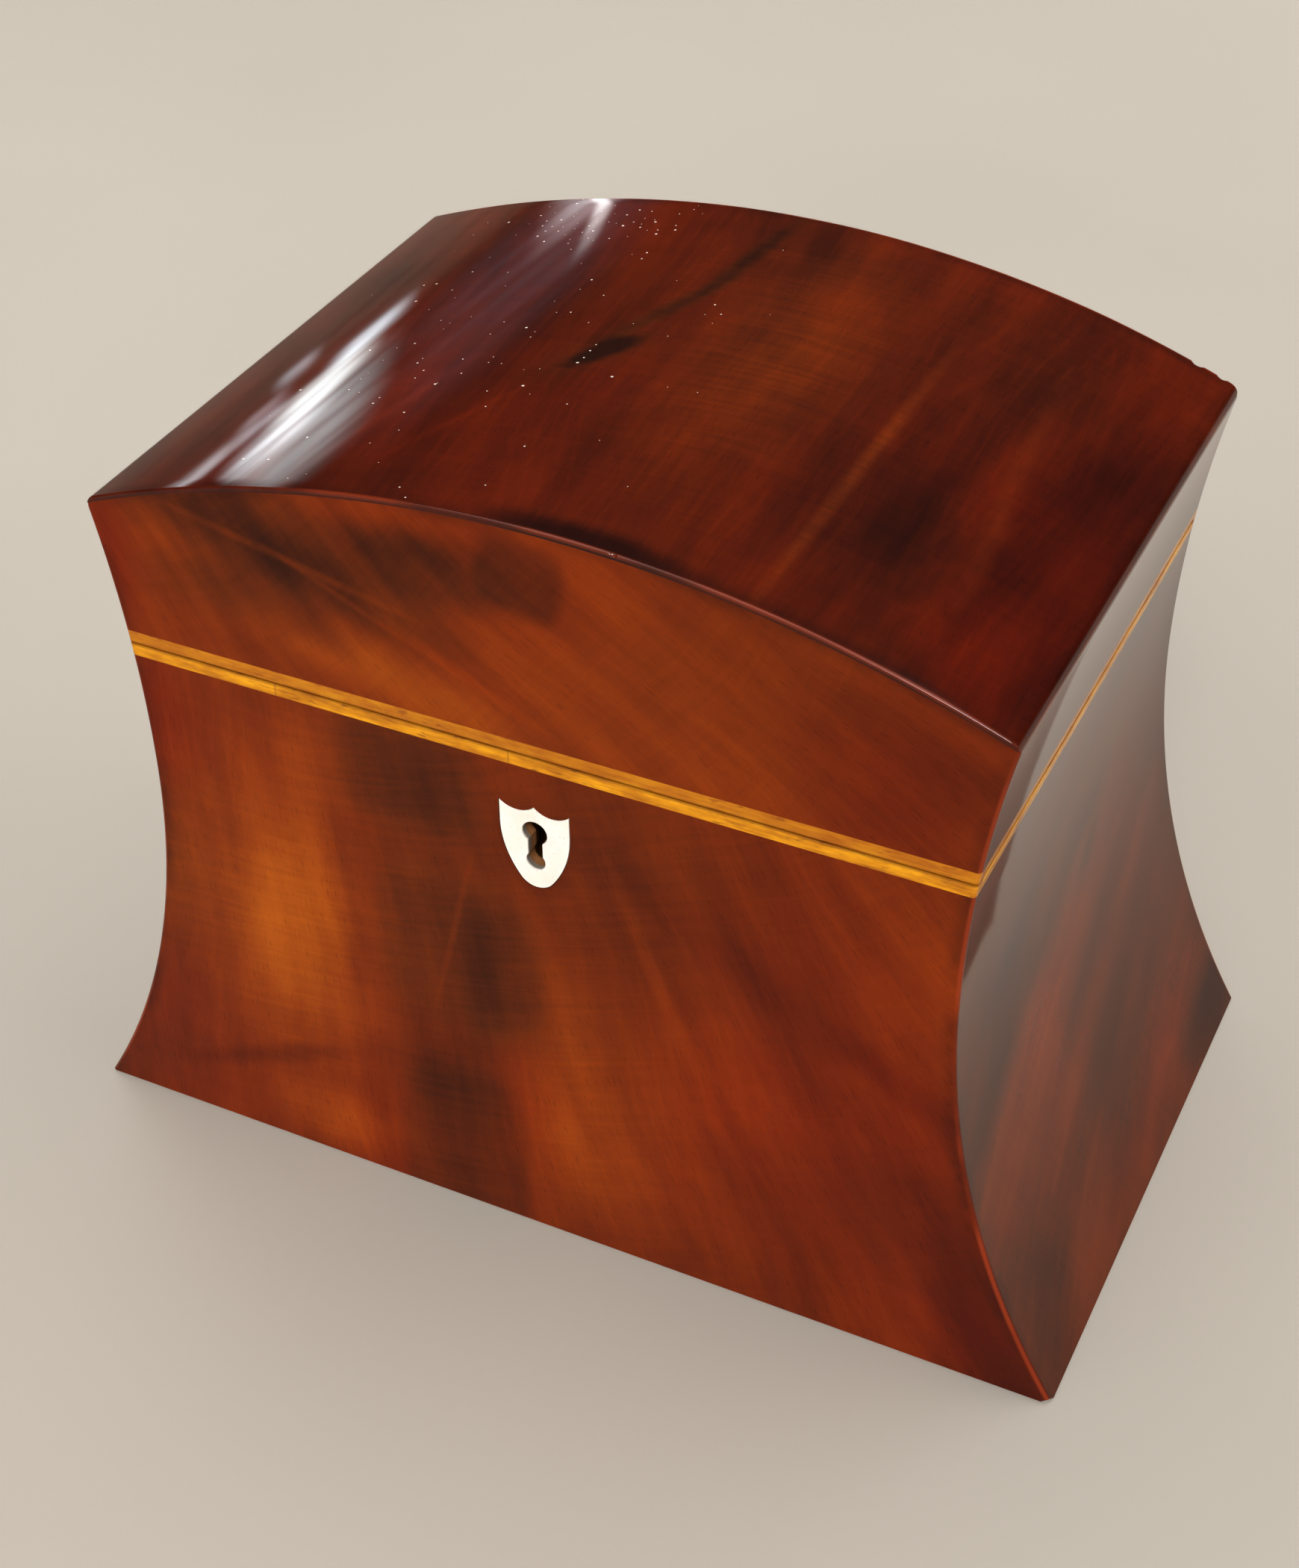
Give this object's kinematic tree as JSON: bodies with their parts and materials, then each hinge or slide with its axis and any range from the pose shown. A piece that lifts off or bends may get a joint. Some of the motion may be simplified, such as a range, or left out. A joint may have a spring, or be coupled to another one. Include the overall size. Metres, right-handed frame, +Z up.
{
  "type": "tea caddy",
  "caption": "Antique table-top tea caddy with waisted ends and a hinged domed lid, inner lids over lined compartments, lock with shield escutcheon, edged in pale wood.",
  "frame": {"origin": "the middle of the underside, on the surface the caddy stands on", "axes": "+X runs to the right along the front, +Y from the front to the hinged back, +Z up"},
  "size_m": [0.1852, 0.111, 0.1451],
  "materials": {
    "flame_mahogany": "French-polished flame mahogany veneer, worn at the arrises",
    "boxwood": "polished boxwood",
    "carcass_wood": "plain planed wood, darkened with age",
    "bone": null,
    "brass": "old brass, dulled",
    "steel": "bare steel",
    "tinned_foil": null,
    "lining_paper": "aged plain paper"
  },
  "bodies": {
    "case": {"front_board": "carcass_wood", "back_board": "carcass_wood", "right_end_block": "carcass_wood", "left_end_block": "carcass_wood", "base_board": "carcass_wood", "front_veneer": "flame_mahogany", "back_veneer": "flame_mahogany", "right_end_veneer": "flame_mahogany", "left_end_veneer": "flame_mahogany", "shield_escutcheon": "bone", "case_front_edging": "boxwood", "case_back_edging": "boxwood", "case_right_edging": "boxwood", "case_left_edging": "boxwood", "front_lining": "carcass_wood", "back_lining": "carcass_wood", "right_lining": "carcass_wood", "left_lining": "carcass_wood", "partition": "carcass_wood", "left_foil_liner": "tinned_foil", "right_foil_liner": "tinned_foil", "lock_plate": "brass", "lock_case": "brass", "drill_pin": "steel", "guide_pins": "steel", "lock_screws": "brass", "bolt_spring": "steel", "left_hinge_case_leaf": "brass", "left_hinge_pin": "steel", "right_hinge_case_leaf": "brass", "right_hinge_pin": "steel", "case_hinge_screws": "brass"},
    "lid": {"lid_front_edging": "boxwood", "lid_back_edging": "boxwood", "lid_right_edging": "boxwood", "lid_left_edging": "boxwood", "link_plate": "brass", "link_plate_screws": "brass", "lid_front_rail": "carcass_wood", "lid_back_rail": "carcass_wood", "lid_right_end": "carcass_wood", "lid_left_end": "carcass_wood", "lid_top_board": "carcass_wood", "lid_lining": "lining_paper", "lid_front_veneer": "flame_mahogany", "lid_back_veneer": "flame_mahogany", "lid_right_end_veneer": "flame_mahogany", "lid_left_end_veneer": "flame_mahogany", "lid_dome_veneer": "flame_mahogany", "left_hinge_lid_leaf": "brass", "right_hinge_lid_leaf": "brass", "lid_hinge_screws": "brass"},
    "left_inner_lid": {"left_inner_lid": "flame_mahogany", "left_inner_lid_knob": "bone"},
    "right_inner_lid": {"right_inner_lid": "flame_mahogany", "right_inner_lid_knob": "bone"},
    "lock_bolt": {"lock_bolt": "brass"}
  },
  "joints": [
    {"name": "lid_hinge", "type": "hinge", "parent": "case", "child": "lid", "pos_m": [0, 0.0546, 0.1041], "axis": [-1, 0, 0], "range_deg": [0, 95]},
    {"name": "left_inner_lid_lift", "type": "slide", "parent": "case", "child": "left_inner_lid", "axis": [0, 0, 1], "range_m": [0, 0.02]},
    {"name": "right_inner_lid_lift", "type": "slide", "parent": "case", "child": "right_inner_lid", "axis": [0, 0, 1], "range_m": [0, 0.02]},
    {"name": "lock_bolt_slide", "type": "slide", "parent": "case", "child": "lock_bolt", "axis": [1, 0, 0], "range_m": [0, 0.0045]}
  ]
}
